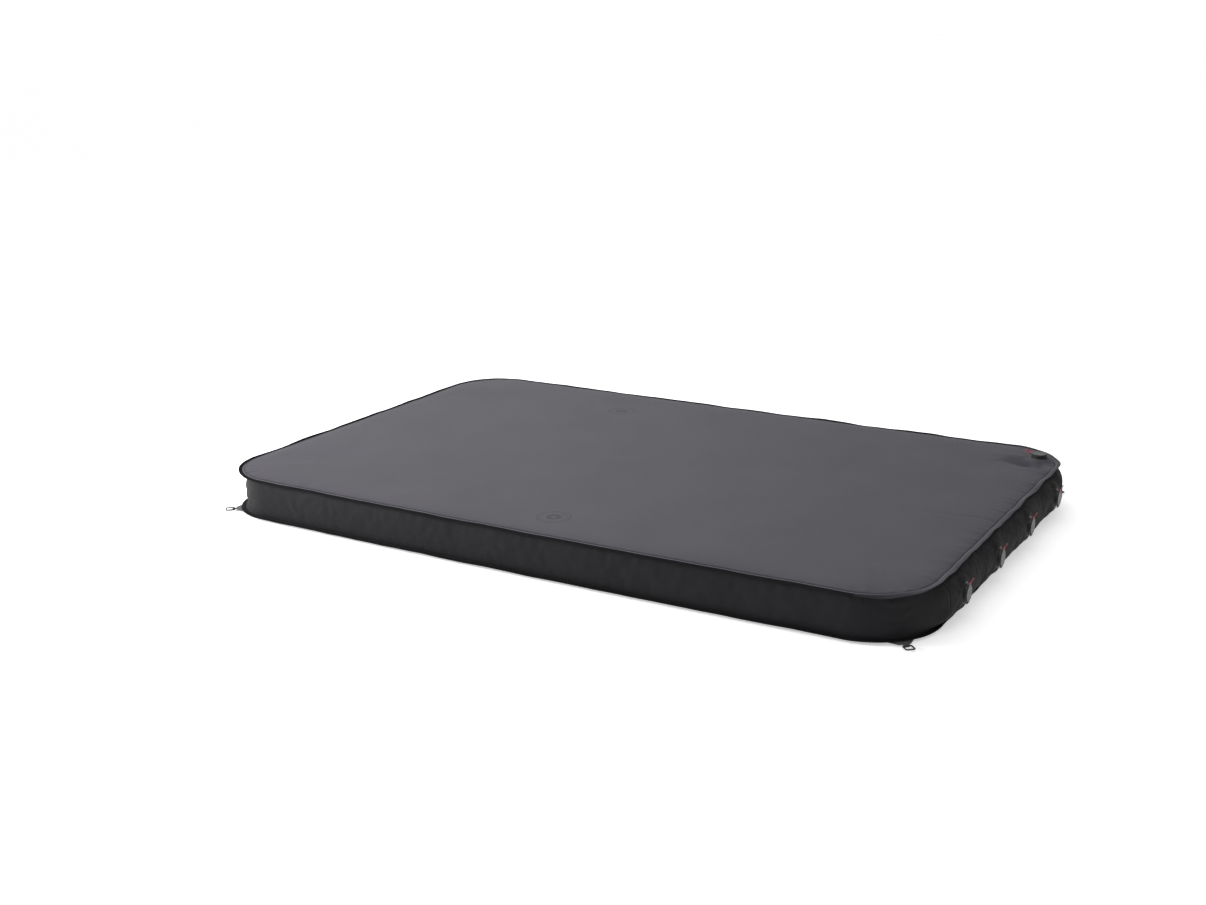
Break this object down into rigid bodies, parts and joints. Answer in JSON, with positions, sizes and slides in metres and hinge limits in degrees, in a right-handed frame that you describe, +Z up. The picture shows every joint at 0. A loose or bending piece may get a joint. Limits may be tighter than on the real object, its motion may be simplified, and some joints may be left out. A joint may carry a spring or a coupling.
{
  "type": "inflatable sleeping pad",
  "caption": "Self-inflating double sleeping pad for camping: welded fabric shell over a cored foam block, with flat air valves for filling and emptying, and corner rings for tying down.",
  "frame": {"origin": "centre of the flat underside, on the ground", "axes": "+X along the length to the foot end, where the wall valves are; +Y across to the side of the lid valve; +Z up"},
  "size_m": [2.0381, 1.3, 0.1381],
  "materials": {
    "top_fabric": "matte",
    "base_fabric": "matte",
    "wall_fabric": "matte",
    "foam": "matte",
    "valve_black": "matte",
    "valve_grey": "satin",
    "seal_rubber": "matte",
    "pin_steel": "satin",
    "tab_red": "satin",
    "corner_webbing": "matte",
    "ring_black": "satin"
  },
  "bodies": {
    "pad": {"top_sheet": "top_fabric", "bottom_sheet": "base_fabric", "side_wall": "wall_fabric", "foot_wall": "wall_fabric", "foam_core": "foam", "foot_valve_1_base": "valve_black", "foot_valve_1_plug_pin": "pin_steel", "foot_valve_2_base": "valve_black", "foot_valve_2_plug_pin": "pin_steel", "foot_valve_3_base": "valve_black", "foot_valve_3_plug_pin": "pin_steel", "foot_valve_4_base": "valve_black", "foot_valve_4_plug_pin": "pin_steel", "lid_valve_base": "valve_black", "lid_valve_plug_pin": "pin_steel", "head_left_tab": "corner_webbing", "head_right_tab": "corner_webbing", "foot_left_tab": "corner_webbing", "foot_right_tab": "corner_webbing"},
    "foot_valve_1_plug": {"foot_valve_1_plug": "valve_grey", "foot_valve_1_seal": "seal_rubber", "foot_valve_1_cap_pin": "pin_steel"},
    "foot_valve_1_flap": {"foot_valve_1_flap": "seal_rubber"},
    "foot_valve_1_cap": {"foot_valve_1_cap": "valve_black", "foot_valve_1_disc": "valve_grey"},
    "foot_valve_1_tab": {"foot_valve_1_tab": "tab_red"},
    "foot_valve_2_plug": {"foot_valve_2_plug": "valve_grey", "foot_valve_2_seal": "seal_rubber", "foot_valve_2_cap_pin": "pin_steel"},
    "foot_valve_2_flap": {"foot_valve_2_flap": "seal_rubber"},
    "foot_valve_2_cap": {"foot_valve_2_cap": "valve_black", "foot_valve_2_disc": "valve_grey"},
    "foot_valve_2_tab": {"foot_valve_2_tab": "tab_red"},
    "foot_valve_3_plug": {"foot_valve_3_plug": "valve_grey", "foot_valve_3_seal": "seal_rubber", "foot_valve_3_cap_pin": "pin_steel"},
    "foot_valve_3_flap": {"foot_valve_3_flap": "seal_rubber"},
    "foot_valve_3_cap": {"foot_valve_3_cap": "valve_black", "foot_valve_3_disc": "valve_grey"},
    "foot_valve_3_tab": {"foot_valve_3_tab": "tab_red"},
    "foot_valve_4_plug": {"foot_valve_4_plug": "valve_grey", "foot_valve_4_seal": "seal_rubber", "foot_valve_4_cap_pin": "pin_steel"},
    "foot_valve_4_flap": {"foot_valve_4_flap": "seal_rubber"},
    "foot_valve_4_cap": {"foot_valve_4_cap": "valve_black", "foot_valve_4_disc": "valve_grey"},
    "foot_valve_4_tab": {"foot_valve_4_tab": "tab_red"},
    "lid_valve_plug": {"lid_valve_plug": "valve_grey", "lid_valve_seal": "seal_rubber", "lid_valve_cap_pin": "pin_steel"},
    "lid_valve_flap": {"lid_valve_flap": "seal_rubber"},
    "lid_valve_cap": {"lid_valve_cap": "valve_black", "lid_valve_disc": "valve_grey"},
    "lid_valve_tab": {"lid_valve_tab": "tab_red"},
    "head_left_ring": {"head_left_ring": "ring_black"},
    "head_right_ring": {"head_right_ring": "ring_black"},
    "foot_left_ring": {"foot_left_ring": "ring_black"},
    "foot_right_ring": {"foot_right_ring": "ring_black"}
  },
  "joints": [
    {"name": "foot_valve_1_plug_hinge", "type": "hinge", "parent": "pad", "child": "foot_valve_1_plug", "pos_m": [1.0235, -0.369, 0.06], "axis": [0, 0, 1], "range_deg": [0, 100]},
    {"name": "foot_valve_1_flap_slide", "type": "slide", "parent": "foot_valve_1_plug", "child": "foot_valve_1_flap", "axis": [-1, 0, 0], "range_m": [0, 0.0025], "stiffness_N_per_m": 20, "springref_m": -0.0005},
    {"name": "foot_valve_1_cap_hinge", "type": "hinge", "parent": "foot_valve_1_plug", "child": "foot_valve_1_cap", "pos_m": [1.0271, -0.3915, 0.0375], "axis": [0, 1, 0], "range_deg": [0, 120]},
    {"name": "foot_valve_1_tab_flex", "type": "hinge", "parent": "foot_valve_1_cap", "child": "foot_valve_1_tab", "pos_m": [1.0289, -0.3915, 0.0825], "axis": [0, 1, 0], "range_deg": [-25, 90], "stiffness_Nm_per_rad": 0.001},
    {"name": "foot_valve_2_plug_hinge", "type": "hinge", "parent": "pad", "child": "foot_valve_2_plug", "pos_m": [1.0235, -0.108, 0.06], "axis": [0, 0, 1], "range_deg": [0, 100]},
    {"name": "foot_valve_2_flap_slide", "type": "slide", "parent": "foot_valve_2_plug", "child": "foot_valve_2_flap", "axis": [-1, 0, 0], "range_m": [0, 0.0025], "stiffness_N_per_m": 20, "springref_m": -0.0005},
    {"name": "foot_valve_2_cap_hinge", "type": "hinge", "parent": "foot_valve_2_plug", "child": "foot_valve_2_cap", "pos_m": [1.0271, -0.1305, 0.0375], "axis": [0, 1, 0], "range_deg": [0, 120]},
    {"name": "foot_valve_2_tab_flex", "type": "hinge", "parent": "foot_valve_2_cap", "child": "foot_valve_2_tab", "pos_m": [1.0289, -0.1305, 0.0825], "axis": [0, 1, 0], "range_deg": [-25, 90], "stiffness_Nm_per_rad": 0.001},
    {"name": "foot_valve_3_plug_hinge", "type": "hinge", "parent": "pad", "child": "foot_valve_3_plug", "pos_m": [1.0235, 0.153, 0.06], "axis": [0, 0, 1], "range_deg": [0, 100]},
    {"name": "foot_valve_3_flap_slide", "type": "slide", "parent": "foot_valve_3_plug", "child": "foot_valve_3_flap", "axis": [-1, 0, 0], "range_m": [0, 0.0025], "stiffness_N_per_m": 20, "springref_m": -0.0005},
    {"name": "foot_valve_3_cap_hinge", "type": "hinge", "parent": "foot_valve_3_plug", "child": "foot_valve_3_cap", "pos_m": [1.0271, 0.1305, 0.0375], "axis": [0, 1, 0], "range_deg": [0, 120]},
    {"name": "foot_valve_3_tab_flex", "type": "hinge", "parent": "foot_valve_3_cap", "child": "foot_valve_3_tab", "pos_m": [1.0289, 0.1305, 0.0825], "axis": [0, 1, 0], "range_deg": [-25, 90], "stiffness_Nm_per_rad": 0.001},
    {"name": "foot_valve_4_plug_hinge", "type": "hinge", "parent": "pad", "child": "foot_valve_4_plug", "pos_m": [1.0235, 0.414, 0.06], "axis": [0, 0, 1], "range_deg": [0, 100]},
    {"name": "foot_valve_4_flap_slide", "type": "slide", "parent": "foot_valve_4_plug", "child": "foot_valve_4_flap", "axis": [-1, 0, 0], "range_m": [0, 0.0025], "stiffness_N_per_m": 20, "springref_m": -0.0005},
    {"name": "foot_valve_4_cap_hinge", "type": "hinge", "parent": "foot_valve_4_plug", "child": "foot_valve_4_cap", "pos_m": [1.0271, 0.3915, 0.0375], "axis": [0, 1, 0], "range_deg": [0, 120]},
    {"name": "foot_valve_4_tab_flex", "type": "hinge", "parent": "foot_valve_4_cap", "child": "foot_valve_4_tab", "pos_m": [1.0289, 0.3915, 0.0825], "axis": [0, 1, 0], "range_deg": [-25, 90], "stiffness_Nm_per_rad": 0.001},
    {"name": "lid_valve_plug_hinge", "type": "hinge", "parent": "pad", "child": "lid_valve_plug", "pos_m": [0.93, 0.5695, 0.1235], "axis": [-1, 0, 0], "range_deg": [0, 100]},
    {"name": "lid_valve_flap_slide", "type": "slide", "parent": "lid_valve_plug", "child": "lid_valve_flap", "axis": [0, 0, -1], "range_m": [0, 0.0025], "stiffness_N_per_m": 20, "springref_m": -0.0005},
    {"name": "lid_valve_cap_hinge", "type": "hinge", "parent": "lid_valve_plug", "child": "lid_valve_cap", "pos_m": [0.9525, 0.547, 0.1271], "axis": [0, 1, 0], "range_deg": [0, 120]},
    {"name": "lid_valve_tab_flex", "type": "hinge", "parent": "lid_valve_cap", "child": "lid_valve_tab", "pos_m": [0.9075, 0.547, 0.1289], "axis": [0, 1, 0], "range_deg": [-25, 90], "stiffness_Nm_per_rad": 0.001},
    {"name": "head_left_ring_swing", "type": "hinge", "parent": "pad", "child": "head_left_ring", "pos_m": [-0.96664, -0.61664, 0.0052], "axis": [-0.7071, 0.7071, 0], "range_deg": [-8, 140]},
    {"name": "head_right_ring_swing", "type": "hinge", "parent": "pad", "child": "head_right_ring", "pos_m": [-0.96664, 0.61664, 0.0052], "axis": [0.7071, 0.7071, 0], "range_deg": [-8, 140]},
    {"name": "foot_left_ring_swing", "type": "hinge", "parent": "pad", "child": "foot_left_ring", "pos_m": [0.96664, -0.61664, 0.0052], "axis": [-0.7071, -0.7071, 0], "range_deg": [-8, 140]},
    {"name": "foot_right_ring_swing", "type": "hinge", "parent": "pad", "child": "foot_right_ring", "pos_m": [0.96664, 0.61664, 0.0052], "axis": [0.7071, -0.7071, 0], "range_deg": [-8, 140]}
  ]
}
